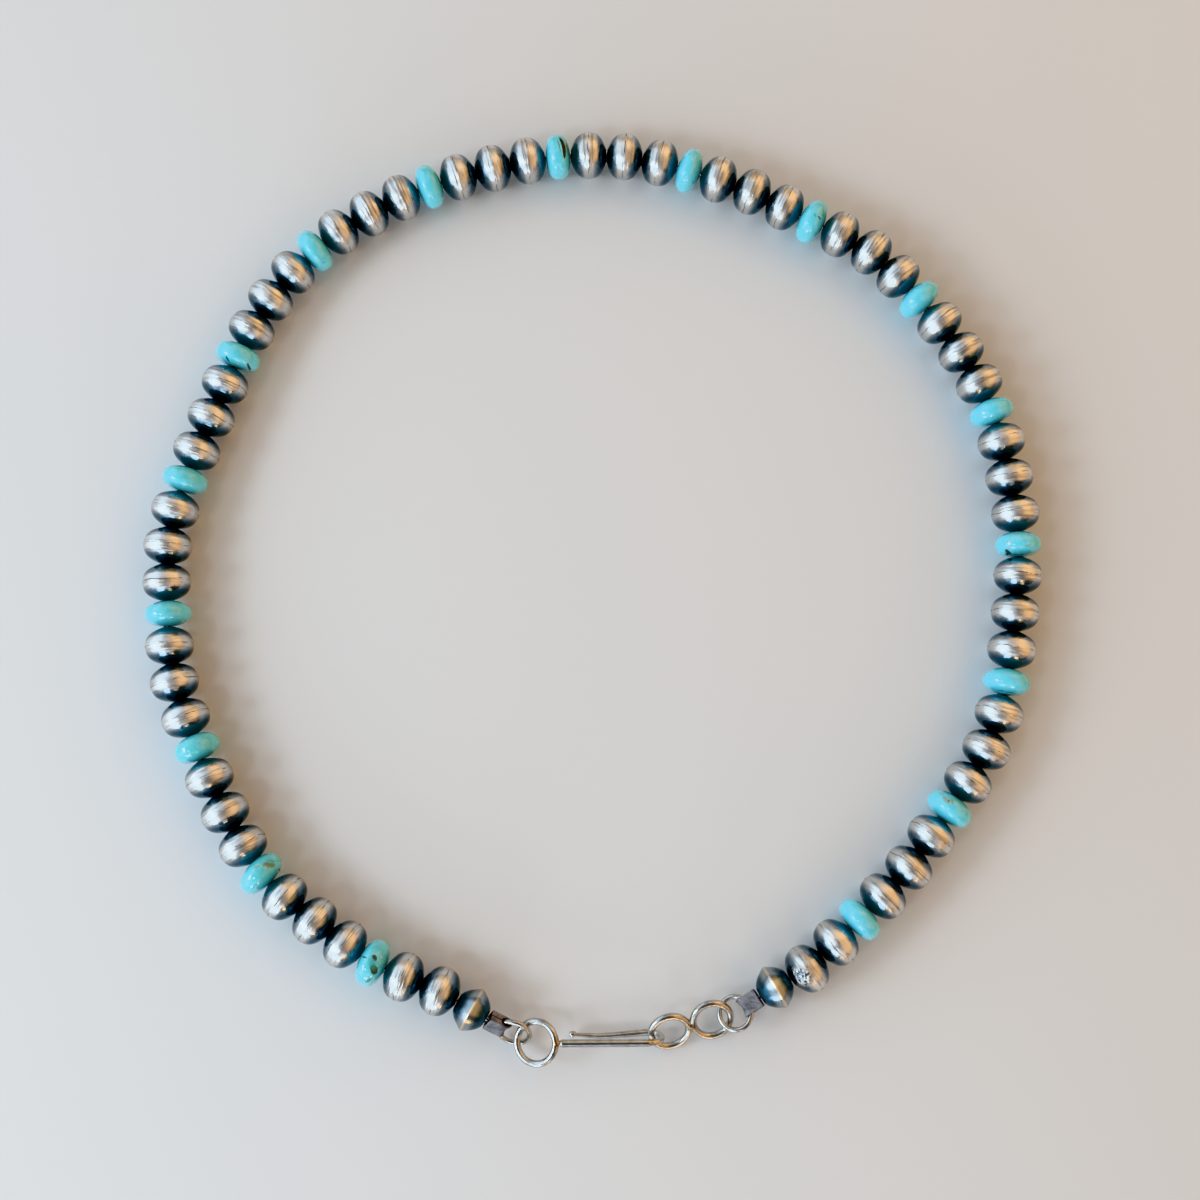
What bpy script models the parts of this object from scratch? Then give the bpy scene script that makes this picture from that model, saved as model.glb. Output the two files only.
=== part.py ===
"""A necklace of oxidised silver beads and turquoise rondelles, fastened by a hook and eye.

It lies on a table as a closed loop. The origin is the middle of the loop, on the table. +X is to the right, +Y points
from the clasp across the loop, and +Z is up.
"""

import math

import bmesh
import bpy
from mathutils import Matrix, Vector

MM = 0.001

# Silver beads: two domed halves, soldered at a slightly flat equator
SILVER_RADIUS = 4.0 * MM
SILVER_LENGTH = 5.95 * MM
SILVER_RIM_RADIUS = 1.2 * MM
SILVER_SHOULDER = (2.0 * MM, 3.1 * MM)
EQUATOR_HALF_WIDTH = 0.4 * MM

# Last bead of each string: two cones on a sharp rim
END_BEAD_RADIUS = 3.7 * MM
END_BEAD_LENGTH = 5.4 * MM
END_BEAD_SHOULDER = (1.9 * MM, 2.45 * MM)
END_BEAD_EQUATOR_HALF_WIDTH = 0.15 * MM

# Cable through the beads, strung a little tighter on the left
CABLE_RADIUS = 0.4 * MM
SILVER_GAP = {"left": 0.32 * MM, "right": 0.38 * MM}
TURQUOISE_GAP = {"left": 0.27 * MM, "right": 0.28 * MM}
MIDDLE_GAP = 0.3 * MM

# Turquoise rondelles, one after every triplet of silver beads but the last
TRIPLETS = 18
DRILL_RADIUS = 0.75 * MM
# diameter mm, thickness mm, turn of the bead on its cable in degrees
TURQUOISE = (
    (7.7, 4.4, 3.0),
    (7.6, 4.4, 6.0),
    (7.6, 4.3, 0.0),
    (7.6, 4.3, 0.0),
    (7.6, 4.3, 1.0),
    (7.7, 4.1, 4.0),
    (7.7, 4.2, -5.0),
    (7.6, 4.2, 0.0),
    (7.8, 4.3, 0.0),
    (7.8, 4.2, -5.0),
    (7.7, 4.3, 0.0),
    (7.7, 4.4, 0.0),
    (7.6, 4.3, 0.0),
    (7.6, 4.2, 0.0),
    (7.8, 4.5, 2.0),
    (7.8, 4.3, -3.0),
    (7.7, 4.2, 0.0),
)

BEAD_SIDES = 12
# The beads' lowest facets lie on the table
AXIS_HEIGHT = SILVER_RADIUS * math.cos(math.pi / BEAD_SIDES)

# Route of the cable over the table in millimetres, from the left end of the clasp clockwise round the loop
ROUTE = (
    (-14.4, -73.2),
    (-19.1, -70.8),
    (-24.0, -68.0),
    (-35.0, -63.5),
    (-44.5, -57.0),
    (-53.5, -49.5),
    (-60.0, -39.5),
    (-65.0, -29.0),
    (-69.5, -17.5),
    (-71.0, -6.0),
    (-71.5, 6.0),
    (-69.0, 17.0),
    (-65.0, 28.0),
    (-61.0, 38.5),
    (-55.5, 49.0),
    (-48.0, 58.0),
    (-39.0, 64.5),
    (-28.5, 69.5),
    (-17.0, 73.0),
    (-6.0, 75.0),
    (6.0, 75.0),
    (17.0, 72.5),
    (28.0, 68.5),
    (38.5, 63.0),
    (48.5, 57.5),
    (56.5, 49.0),
    (63.5, 39.5),
    (68.5, 28.5),
    (71.0, 17.0),
    (72.0, 5.5),
    (71.0, -6.0),
    (69.0, -18.0),
    (65.0, -29.5),
    (58.5, -39.0),
    (51.5, -48.5),
    (43.5, -56.5),
    (34.5, -64.5),
    (29.6, -67.2),
    (25.2, -70.4),
)
MIDDLE_ROUTE_POINT = 19
STEPS_PER_SPAN = 24

# Jump rings: each lies in one plane with the end of its string, rolled about the line to that end
WIRE_SIDES = 6
RING_SEGMENTS = 16
JUMP_RING_RADIUS = 2.6 * MM
JUMP_WIRE_RADIUS = 0.42 * MM
JUMP_RING_CENTRE = {
    "left": Vector((-12.5, -74.4, 2.57)) * MM,
    "right": Vector((23.2, -71.35, 3.1)) * MM,
}
JUMP_RING_ROLL = {"left": 45.0, "right": 16.0}

# End tabs: sheet folded round a jump ring, its two layers soldered together behind the fold
TAB_WIDTH = 3.0 * MM
TAB_HALF_THICKNESS = 1.0 * MM
TAB_FACE_AT = 0.56 * MM
TAB_BORE_TO = 1.35 * MM
TAB_CABLE_TO = 1.05 * MM
TAB_HOLE_RADIUS = 0.72 * MM
TAB_EDGE_FROM_RING_CENTRE = 1.4 * MM
TAB_EDGE_HOLLOW = 0.38 * MM
TAB_STATIONS = (-1.0, -0.5, 0.0, 0.5, 1.0)
TAB_FOLD_SIDES = 6

# Clasp hook
HOOK_RING_WIRE_RADIUS = 0.57 * MM
HOOK_RING_RADIUS = 3.3 * MM
HOOK_RING_CENTRE = Vector((-8.85, -75.9, 3.25)) * MM
HOOK_RING_TILT = 18.5
# x, y, z and wire radius in mm: neck, shank, bend, tapering return and ball tip
HOOK_SHANK = (
    (-5.6, -75.9, 4.3, 0.45),
    (-4.9, -75.9, 4.3, 0.45),
    (-4.8, -75.9, 4.3, 0.6),
    (9.2, -75.8, 4.35, 0.6),
)
HOOK_BEND = 2.15 * MM
HOOK_BEND_WIRE_RADIUS = 0.53 * MM
HOOK_RETURN = (
    (9.2, -74.6, 0.75, 0.53),
    (1.4, -75.2, 0.7, 0.45),
    (-2.4, -74.95, 1.0, 0.33),
    (-2.75, -74.9, 1.05, 0.5),
    (-3.25, -74.85, 1.1, 0.5),
    (-3.6, -74.8, 1.15, 0.3),
)
BEND_STEPS = 6

# Clasp eye: two rings soldered side by side, each tilted about the line of their centres
EYE_RING_RADIUS = 3.1 * MM
EYE_WIRE_RADIUS = 0.58 * MM
EYE_RING_SPACING = 7.03 * MM
EYE_CENTRE = Vector((12.65, -74.2, 2.75)) * MM
EYE_DIRECTION = 15.0
EYE_TILTS = (37.0, 30.0)

SILVER_COLOUR = (0.62, 0.60, 0.57, 1.0)
CLASP_COLOUR = (0.66, 0.64, 0.60, 1.0)
TURQUOISE_COLOUR = (0.10, 0.50, 0.56, 1.0)

UP = Vector((0.0, 0.0, 1.0))


def clear_scene():
    for item in list(bpy.data.objects):
        bpy.data.objects.remove(item, do_unlink=True)


def make_material(name, colour, roughness, metallic):
    material = bpy.data.materials.new(name)
    material.use_nodes = True
    shader = material.node_tree.nodes["Principled BSDF"]
    shader.inputs["Base Color"].default_value = colour
    shader.inputs["Roughness"].default_value = roughness
    shader.inputs["Metallic"].default_value = metallic
    return material


def add_object(name, mesh, material):
    item = bpy.data.objects.new(name, mesh)
    bpy.context.scene.collection.objects.link(item)
    mesh.materials.append(material)
    mesh.shade_smooth()
    mesh.set_sharp_from_angle(angle=math.radians(35.0))
    return item


def loft(name, rings, closed=False):
    """A mesh through rings of equally many points. Open lofts get a face on each end."""
    shape = bmesh.new()
    loops = [[shape.verts.new(point) for point in points] for points in rings]
    pairs = list(zip(loops, loops[1:]))
    if closed:
        pairs.append((loops[-1], loops[0]))
    else:
        shape.faces.new(list(reversed(loops[0])))
        shape.faces.new(loops[-1])
    count = len(loops[0])
    for first, second in pairs:
        for k in range(count):
            after = (k + 1) % count
            shape.faces.new((first[k], first[after], second[after], second[k]))
    bmesh.ops.recalc_face_normals(shape, faces=shape.faces)
    mesh = bpy.data.meshes.new(name)
    shape.to_mesh(mesh)
    shape.free()
    return mesh


def ring(centre, along, radius, sides, upward=UP):
    """Points of a regular polygon across the direction along, with one flat side facing straight down."""
    side = along.cross(upward).normalized()
    top = side.cross(along).normalized()
    points = []
    for k in range(sides):
        angle = 2.0 * math.pi * (k + 0.5) / sides
        points.append(centre + radius * (math.sin(angle) * side - math.cos(angle) * top))
    return points


class Route:
    """A smooth curve through the route's points, measured by its length."""

    def __init__(self, points, height):
        corners = [Vector((x * MM, y * MM, height)) for x, y in points]
        corners.insert(0, 2.0 * corners[0] - corners[1])
        corners.append(2.0 * corners[-1] - corners[-2])
        self.points = []
        self.lengths = [0.0]
        for a, b, c, d in zip(corners, corners[1:], corners[2:], corners[3:]):
            for step in range(STEPS_PER_SPAN):
                t = step / STEPS_PER_SPAN
                smooth = 2.0 * b + (c - a) * t
                smooth += (2.0 * a - 5.0 * b + 4.0 * c - d) * t**2
                smooth += (3.0 * b - a - 3.0 * c + d) * t**3
                self.points.append(smooth * 0.5)
        self.points.append(corners[-2])
        for first, second in zip(self.points, self.points[1:]):
            self.lengths.append(self.lengths[-1] + (second - first).length)

    def length_at(self, route_point):
        return self.lengths[route_point * STEPS_PER_SPAN]

    def point(self, length):
        index = 0
        while index < len(self.lengths) - 2 and self.lengths[index + 1] < length:
            index += 1
        span = self.lengths[index + 1] - self.lengths[index]
        return self.points[index].lerp(self.points[index + 1], (length - self.lengths[index]) / span)

    def direction(self, length, half_chord):
        return (self.point(length + half_chord) - self.point(length - half_chord)).normalized()


def bead_lengths():
    """Length of each bead from the left end of the string to the right, and whether it is turquoise."""
    beads = []
    for triplet in range(TRIPLETS):
        beads += [(SILVER_LENGTH, False)] * 3
        if triplet < len(TURQUOISE):
            beads.append((TURQUOISE[triplet][1] * MM, True))
    beads[0] = beads[-1] = (END_BEAD_LENGTH, False)
    return beads


def place_beads(route):
    """Centre and axis of every bead, threaded outwards from the middle turquoise."""
    beads = bead_lengths()
    middle = len(beads) // 2
    places = {middle: route.length_at(MIDDLE_ROUTE_POINT)}
    for side, step, order in (
        ("left", -1, range(middle - 1, -1, -1)),
        ("right", 1, range(middle + 1, len(beads))),
    ):
        for index in order:
            before = beads[index - step]
            here = beads[index]
            gap = (TURQUOISE_GAP if before[1] or here[1] else SILVER_GAP)[side]
            places[index] = places[index - step] + step * (before[0] / 2 + gap + here[0] / 2)
    placed = []
    for index, (length, turquoise) in enumerate(beads):
        centre = route.point(places[index])
        placed.append((centre, route.direction(places[index], length / 2), turquoise))
    return placed


def mirrored(half):
    """Profile of a whole bead, from the half on one side of its equator."""
    return half + [(-along, radius) for along, radius in reversed(half)]


def silver_profile():
    """Distance along the bead's axis and radius, from one hole to the other."""
    shoulder = (-SILVER_SHOULDER[0], SILVER_SHOULDER[1])
    return mirrored([(-SILVER_LENGTH / 2, SILVER_RIM_RADIUS), shoulder, (-EQUATOR_HALF_WIDTH, SILVER_RADIUS)])


def end_bead_profile():
    shoulder = (-END_BEAD_SHOULDER[0], END_BEAD_SHOULDER[1])
    rim = (-END_BEAD_EQUATOR_HALF_WIDTH, END_BEAD_RADIUS)
    return mirrored([(-END_BEAD_LENGTH / 2, SILVER_RIM_RADIUS), shoulder, rim])


def string_rings(beads, end_bead):
    """Rings of the cable and of the silver beads on it, for a run of beads."""
    rings = []
    for index, (centre, axis, turquoise) in enumerate(beads):
        if turquoise:
            rings.append(ring(centre, axis, CABLE_RADIUS, BEAD_SIDES))
            continue
        profile = end_bead_profile() if index == end_bead else silver_profile()
        cable_in = (profile[0][0], CABLE_RADIUS)
        cable_out = (profile[-1][0], CABLE_RADIUS)
        for along, radius in [cable_in, *profile, cable_out]:
            rings.append(ring(centre + axis * along, axis, radius, BEAD_SIDES))
    return rings


def turquoise_mesh(name, radius, half, centre, axis):
    """A drilled rondelle: rounded rim, slightly domed faces."""
    outside = (
        (-half, DRILL_RADIUS),
        (-half * 0.93, radius * 0.62),
        (-half * 0.42, radius),
        (half * 0.42, radius),
        (half * 0.93, radius * 0.62),
        (half, DRILL_RADIUS),
    )
    rings = [ring(centre + axis * along, axis, size, BEAD_SIDES) for along, size in outside]
    return loft(name, rings, closed=True)


def torus_mesh(name, centre, first, second, ring_radius, wire_radius):
    """A wire ring in the plane of two directions."""
    rings = []
    for k in range(RING_SEGMENTS):
        angle = 2.0 * math.pi * k / RING_SEGMENTS
        outward = math.cos(angle) * first + math.sin(angle) * second
        along = math.cos(angle) * second - math.sin(angle) * first
        rings.append(ring(centre + outward * ring_radius, along, wire_radius, WIRE_SIDES, outward))
    return loft(name, rings, closed=True)


def add_modifier_boolean(target, cutter, operation):
    cutter.hide_render = True
    cutter.display_type = "WIRE"
    modifier = target.modifiers.new(cutter.name, "BOOLEAN")
    modifier.operation = operation
    modifier.object = cutter


def rod_mesh(name, start, end, radius, sides):
    along = (end - start).normalized()
    upward = UP if abs(along.z) < 0.9 else Vector((1.0, 0.0, 0.0))
    return loft(name, [ring(point, along, radius, sides, upward) for point in (start, end)])


class Link:
    """Where a jump ring and its end tab are: they lie in one plane with the hole of the string's last bead."""

    def __init__(self, side, bead, outward):
        centre, axis, _ = bead
        self.side = side
        self.hole = centre + axis * (outward * END_BEAD_LENGTH / 2)
        self.ring_centre = JUMP_RING_CENTRE[side]
        self.along = (self.ring_centre - self.hole).normalized()
        roll = Matrix.Rotation(math.radians(JUMP_RING_ROLL[side]), 3, self.along)
        self.across = roll @ self.along.cross(UP).normalized()
        self.upper = self.across.cross(self.along)

    def at(self, distance):
        """Point on the line from the bead's hole to the ring's centre."""
        return self.hole + self.along * distance


def make_strings(beads, links, metal):
    """Two strings, each from an end tab to the middle of the middle turquoise."""
    middle = len(beads) // 2
    centre, axis, _ = beads[middle]
    for side, outward, run, end_bead in (
        ("left", -1.0, beads[:middle], 0),
        ("right", 1.0, beads[middle + 1:], middle - 1),
    ):
        rings = string_rings(run, end_bead)
        tail = ring(links[side].at(TAB_CABLE_TO), links[side].along * outward, CABLE_RADIUS, BEAD_SIDES)
        meeting = ring(centre + axis * (outward * MIDDLE_GAP / 2), axis, CABLE_RADIUS, BEAD_SIDES)
        rings = [tail] + rings + [meeting] if side == "left" else [meeting] + rings + [tail]
        name = f"silver_bead_string_{side}"
        add_object(name, loft(name, rings), metal)


def make_turquoise(beads, stone):
    stones = [(centre, axis) for centre, axis, turquoise in beads if turquoise]
    for number, ((centre, axis), (diameter, thickness, turn)) in enumerate(zip(stones, TURQUOISE), start=1):
        turned = Matrix.Rotation(math.radians(turn), 3, "Z") @ axis
        name = f"turquoise_bead_{number:02d}"
        mesh = turquoise_mesh(name, diameter / 2 * MM, thickness / 2 * MM, centre, turned)
        add_object(name, mesh, stone)


def tab_outline(link, station):
    """Section of a tab along its length: square where it is soldered, round where it is folded."""
    aside = link.across * (station * TAB_WIDTH / 2)
    upward = link.upper * TAB_HALF_THICKNESS
    face = link.at(TAB_FACE_AT) + aside
    edge = TAB_EDGE_FROM_RING_CENTRE - TAB_EDGE_HOLLOW * station**2
    fold = link.ring_centre - link.along * (edge + TAB_HALF_THICKNESS) + aside
    points = [face - upward]
    for k in range(TAB_FOLD_SIDES + 1):
        angle = math.pi * (k / TAB_FOLD_SIDES - 0.5)
        points.append(fold + math.cos(angle) * TAB_HALF_THICKNESS * link.along + math.sin(angle) * upward)
    points.append(face + upward)
    return points


def make_tab(link, metal):
    name = f"end_tab_{link.side}"
    outlines = [tab_outline(link, station) for station in TAB_STATIONS]
    tab = add_object(name, loft(name, outlines), metal)
    hole_name = f"{name}_hole_cutter"
    hole = torus_mesh(hole_name, link.ring_centre, link.along, link.across, JUMP_RING_RADIUS, TAB_HOLE_RADIUS)
    add_modifier_boolean(tab, add_object(hole_name, hole, metal), "DIFFERENCE")
    bore_name = f"{name}_bore_cutter"
    bore = rod_mesh(bore_name, link.at(-TAB_FACE_AT), link.at(TAB_BORE_TO), DRILL_RADIUS, BEAD_SIDES)
    add_modifier_boolean(tab, add_object(bore_name, bore, metal), "DIFFERENCE")


def make_jump_ring(link, metal):
    name = f"jump_ring_{link.side}"
    mesh = torus_mesh(name, link.ring_centre, link.along, link.across, JUMP_RING_RADIUS, JUMP_WIRE_RADIUS)
    add_object(name, mesh, metal)


def hook_wire_rings():
    """Rings of the hook's wire: neck, shank, bend, return and ball tip."""
    shank = [(Vector(row[:3]) * MM, row[3] * MM) for row in HOOK_SHANK]
    back = [(Vector(row[:3]) * MM, row[3] * MM) for row in HOOK_RETURN]
    bend_centre = (shank[-1][0] + back[0][0]) / 2
    arm = shank[-1][0] - bend_centre
    forward = Vector((HOOK_BEND, 0.0, 0.0))
    bend = []
    for k in range(1, BEND_STEPS):
        angle = math.pi * k / BEND_STEPS
        bend.append((bend_centre + math.cos(angle) * arm + math.sin(angle) * forward, HOOK_BEND_WIRE_RADIUS))
    wire = shank + bend + back
    sideways = arm.cross(forward).normalized()
    rings = []
    for k, (point, radius) in enumerate(wire):
        along = wire[min(k + 1, len(wire) - 1)][0] - wire[max(k - 1, 0)][0]
        rings.append(ring(point, along.normalized(), radius, WIRE_SIDES, sideways))
    return rings


def make_hook(metal):
    """Ring and hook, soldered into one."""
    tilt = math.radians(HOOK_RING_TILT)
    raised = Vector((math.cos(tilt), 0.0, math.sin(tilt)))
    mesh = torus_mesh(
        "clasp_hook", HOOK_RING_CENTRE, raised, Vector((0.0, 1.0, 0.0)), HOOK_RING_RADIUS, HOOK_RING_WIRE_RADIUS
    )
    hook = add_object("clasp_hook", mesh, metal)
    wire = add_object("clasp_hook_wire", loft("clasp_hook_wire", hook_wire_rings()), metal)
    add_modifier_boolean(hook, wire, "UNION")


def make_eye(metal):
    """Two rings side by side, soldered into one."""
    turn = math.radians(EYE_DIRECTION)
    along = Vector((math.cos(turn), math.sin(turn), 0.0))
    level = Vector((-math.sin(turn), math.cos(turn), 0.0))
    rings = []
    for number, tilt in enumerate(EYE_TILTS):
        raised = math.cos(math.radians(tilt)) * level + math.sin(math.radians(tilt)) * UP
        centre = EYE_CENTRE + along * (number * EYE_RING_SPACING)
        name = "clasp_eye_second" if number else "clasp_eye"
        mesh = torus_mesh(name, centre, along, raised, EYE_RING_RADIUS, EYE_WIRE_RADIUS)
        rings.append(add_object(name, mesh, metal))
    add_modifier_boolean(rings[0], rings[1], "UNION")


def main():
    clear_scene()
    bead_metal = make_material("bead_silver", SILVER_COLOUR, 0.32, 1.0)
    clasp_metal = make_material("clasp_silver", CLASP_COLOUR, 0.28, 1.0)
    stone = make_material("turquoise", TURQUOISE_COLOUR, 0.25, 0.0)
    beads = place_beads(Route(ROUTE, AXIS_HEIGHT))
    links = {"left": Link("left", beads[0], -1.0), "right": Link("right", beads[-1], 1.0)}
    make_strings(beads, links, bead_metal)
    make_turquoise(beads, stone)
    for link in links.values():
        make_tab(link, clasp_metal)
        make_jump_ring(link, clasp_metal)
    make_hook(clasp_metal)
    make_eye(clasp_metal)


main()
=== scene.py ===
import math
import random

import bmesh
import bpy
from mathutils import Matrix, Vector, noise


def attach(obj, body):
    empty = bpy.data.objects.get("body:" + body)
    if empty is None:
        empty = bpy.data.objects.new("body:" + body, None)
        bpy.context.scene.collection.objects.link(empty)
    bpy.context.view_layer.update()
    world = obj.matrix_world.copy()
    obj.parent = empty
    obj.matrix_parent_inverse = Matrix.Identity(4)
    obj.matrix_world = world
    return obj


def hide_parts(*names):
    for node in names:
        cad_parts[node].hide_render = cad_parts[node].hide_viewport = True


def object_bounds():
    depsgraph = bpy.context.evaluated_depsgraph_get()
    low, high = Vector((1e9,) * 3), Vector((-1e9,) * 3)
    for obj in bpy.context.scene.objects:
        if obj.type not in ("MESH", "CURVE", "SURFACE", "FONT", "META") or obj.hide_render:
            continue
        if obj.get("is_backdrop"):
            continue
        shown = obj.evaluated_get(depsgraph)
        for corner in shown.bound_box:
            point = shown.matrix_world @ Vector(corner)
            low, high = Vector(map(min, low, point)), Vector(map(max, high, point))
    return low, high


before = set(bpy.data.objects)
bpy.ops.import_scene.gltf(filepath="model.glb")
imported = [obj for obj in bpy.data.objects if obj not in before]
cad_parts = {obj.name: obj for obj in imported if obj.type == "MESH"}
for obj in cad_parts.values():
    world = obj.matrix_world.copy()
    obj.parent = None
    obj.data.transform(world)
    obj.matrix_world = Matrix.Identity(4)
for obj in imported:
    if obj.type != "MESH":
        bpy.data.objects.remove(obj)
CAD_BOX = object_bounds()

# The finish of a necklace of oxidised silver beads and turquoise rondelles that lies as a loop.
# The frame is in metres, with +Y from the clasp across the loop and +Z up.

MM = 0.001
UP = Vector((0.0, 0.0, 1.0))
CHANCE_SEED = 7
SHARP_ANGLE = 40.0

# Camera: nearly straight down, over the clasp's side of the loop, focal length in image pixels
IMAGE_SIDE = 1200
FOCAL_PIXELS = 1478.0
SENSOR_WIDTH = 36.0
CAMERA_TARGET = Vector((1.4, -3.4, 0.0)) * MM
CAMERA_DISTANCE = 252.0 * MM
CAMERA_TILT = 9.0
CAMERA_CLIP_START = 0.01

# Silver beads: two domes that meet in a soft crest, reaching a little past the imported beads
SILVER_RADIUS = 4.0 * MM
SILVER_LENGTH = 5.95 * MM
SILVER_REACH = 0.27 * MM
SILVER_RIM_RADIUS = 1.2 * MM
CREST_SLOPE = 0.2
CREST_ROUNDING = 0.12 * MM
DOME_POWER = 3.9
DOME_STEPS = 18
BEAD_SIDES = 60
LIP_HEIGHT = 0.08 * MM
LIP_WIDTH = 0.25 * MM
HOLE_RADIUS = 0.75 * MM
HOLE_ROUNDING = 0.1 * MM
LIP_STEPS = 3

# Rubbed band, in mm from a silver bead's crest: at the sides, and how much wider above and below
BAND_HALF_WIDTH = 1.0
BAND_VARIATION = 0.12
# The band narrows from top to sides as painted shade: there the dark patina stands in for the
# table's dark reflection.
BAND_FULLER_ON_TOP = 0.64
SCUFFED_BEAD = 53

# Size and length of the waves that handwork leaves, and the highest seed of a bead's noise
SILVER_WAVES = (0.05 * MM, 3.0 * MM)
STONE_WAVES = (0.12 * MM, 3.5 * MM)
HIGHEST_SEED = 90.0

# Last bead of each string: two cones on a sharp rim
END_BEAD_RADIUS = 3.7 * MM
END_BEAD_LENGTH = 5.4 * MM
END_BEAD_SHOULDER = (1.9 * MM, 2.45 * MM)

# Cable, and the gaps between the beads on it
CABLE_RADIUS = 0.4 * MM
CABLE_SIDES = 12
CABLE_STEP = 0.8 * MM
SILVER_GAP = {"left": 0.32 * MM, "right": 0.38 * MM}
TURQUOISE_GAP = {"left": 0.27 * MM, "right": 0.28 * MM}
MIDDLE_GAP = 0.3 * MM

# Turquoise rondelles
TRIPLETS = 18
# diameter mm, thickness mm, turn on the cable in degrees, greenness, squareness of the section
TURQUOISE = (
    (7.7, 4.4, 3.0, 0.35, 2.5),
    (7.6, 4.4, 6.0, 0.55, 2.5),
    (7.6, 4.3, 0.0, 0.60, 2.5),
    (7.6, 4.3, 0.0, 0.35, 2.3),
    (7.6, 4.3, 1.0, 0.40, 2.5),
    (7.7, 4.1, 4.0, 0.25, 2.6),
    (7.7, 4.2, -5.0, 0.20, 2.6),
    (7.6, 4.2, 0.0, 0.20, 2.6),
    (7.8, 4.3, 0.0, 0.30, 2.6),
    (7.8, 4.2, -5.0, 0.05, 2.2),
    (7.7, 4.3, 0.0, 0.20, 2.4),
    (7.7, 4.4, 0.0, 0.10, 2.2),
    (7.6, 4.3, 0.0, 0.10, 2.3),
    (7.6, 4.2, 0.0, 0.15, 2.4),
    (7.8, 4.5, 2.0, 0.05, 2.2),
    (7.8, 4.3, -3.0, 0.15, 2.5),
    (7.7, 4.2, 0.0, 0.00, 2.6),
)
RONDELLE_STEPS = 44
RONDELLE_SIDES = 72
DENTED_STEPS = 88
DENTED_SIDES = 160

# Traces of the mother rock: colour, strength, softness and raggedness of the edge, depth in mm
MARK_KINDS = {
    "slit": ((0.010, 0.003, 0.001, 1.0), 1.0, 0.25, 0.2, 0.14),
    "brown": ((0.075, 0.047, 0.019, 1.0), 0.95, 0.30, 0.9, 0.05),
    "dark": ((0.02, 0.022, 0.02, 1.0), 0.9, 0.45, 1.0, 0.06),
    "chip": ((0.035, 0.03, 0.022, 1.0), 0.95, 0.35, 0.9, 0.16),
    "crumb": ((0.74, 0.74, 0.68, 1.0), 0.9, 0.4, 0.8, 0.0),
    "olive": ((0.18, 0.20, 0.07, 1.0), 0.85, 0.6, 1.1, 0.0),
    "green": ((0.06, 0.36, 0.28, 1.0), 0.6, 0.8, 1.2, 0.0),
    "pale": ((0.32, 0.41, 0.31, 1.0), 0.85, 0.5, 1.0, 0.0),
    "web": ((0.34, 0.36, 0.12, 1.0), 0.85, 0.6, 0.9, 0.0),
}
# A mark's reach into the stone, and past its ends and to its sides for each mm of its width
MARK_DEPTH = 0.5 * MM
MARK_END_REACH = 0.45
MARK_SIDE_REACH = 0.65
DENT_POWER = 0.7
# bead, kind, then from and to: mm along the axis and degrees round it from the top, and width mm
MARKS = (
    (1, "brown", 0.1, 23, -0.6, 17, 0.6),
    (1, "brown", -0.6, 0, -1.4, -14, 1.1),
    (1, "dark", 1.9, 10, 0.9, 12, 0.25),
    (1, "crumb", -1.05, 33, -1.2, 29, 0.22),
    (1, "olive", -0.4, -50, -1.3, -30, 0.55),
    (1, "green", 0.3, 14, -1.2, -6, 1.5),
    (2, "olive", 0.4, 25, -1.0, 50, 0.95),
    (2, "web", 1.0, 4, 0.4, 23, 0.35),
    (2, "green", -0.4, 48, -1.0, 95, 0.3),
    (2, "green", 0.5, 38, -0.8, 63, 0.3),
    (2, "dark", -1.7, 60, -1.9, 95, 0.3),
    (3, "web", -1.7, 35, -1.9, 70, 0.3),
    (5, "green", -0.3, -58, 0.4, -48, 0.25),
    (6, "dark", -1.3, -14, -1.9, -3, 0.4),
    (6, "brown", -1.1, 50, -1.6, 90, 0.4),
    (6, "web", -1.85, 5, -1.75, 45, 0.3),
    (7, "green", -0.6, 61, 0.1, 66, 0.45),
    (9, "green", 0.75, -40, 1.3, 38, 1.3),
    (9, "olive", 1.45, -42, 1.8, 32, 0.7),
    (9, "slit", 0.70, -34, 1.24, 32, 0.66),
    (9, "dark", 0.0, -30, 0.55, 16, 0.12),
    (11, "dark", 0.8, 4, 1.5, 8, 0.25),
    (11, "green", 0.0, 4, 0.4, 9, 0.5),
    (11, "green", 0.9, -30, 1.6, 0, 0.8),
    (14, "brown", 1.4, 52, 1.9, 58, 0.75),
    (14, "chip", 1.8, 60, 1.9, 84, 0.5),
    (14, "chip", 1.95, 45, 2.05, 15, 0.35),
    (14, "chip", 2.05, 8, 2.0, -28, 0.3),
    (14, "web", 0.6, 47, -0.5, 37, 0.2),
    (14, "web", -0.5, 37, 0.45, 28, 0.2),
    (14, "web", 0.45, 28, 1.5, 49, 0.22),
    (14, "web", 1.0, 2, 0.6, -22, 0.2),
    (14, "web", -1.3, 48, -1.1, 3, 0.2),
    (15, "chip", 1.95, 44, 2.0, 14, 0.40),
    (15, "chip", 2.0, 8, 1.95, -26, 0.40),
    (15, "crumb", 1.95, 20, 2.0, 12, 0.22),
    (15, "crumb", 2.0, 4, 1.95, -6, 0.20),
    (15, "green", -1.2, -46, 1.0, -56, 0.8),
    (15, "pale", -1.6, -54, 0.8, -70, 0.26),
    (16, "pale", -0.6, 39, 0.05, 15, 0.75),
    (16, "pale", -0.9, 23, -0.4, 9, 0.6),
    (16, "dark", -0.45, 24, -0.3, 18, 0.16),
    (16, "pale", -0.6, 55, -1.1, 40, 0.35),
    (17, "pale", -1.6, -56, -1.5, -66, 0.2),
)

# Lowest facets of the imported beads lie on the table
PACKED_BEAD_SIDES = 12
AXIS_HEIGHT = SILVER_RADIUS * math.cos(math.pi / PACKED_BEAD_SIDES)

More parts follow.
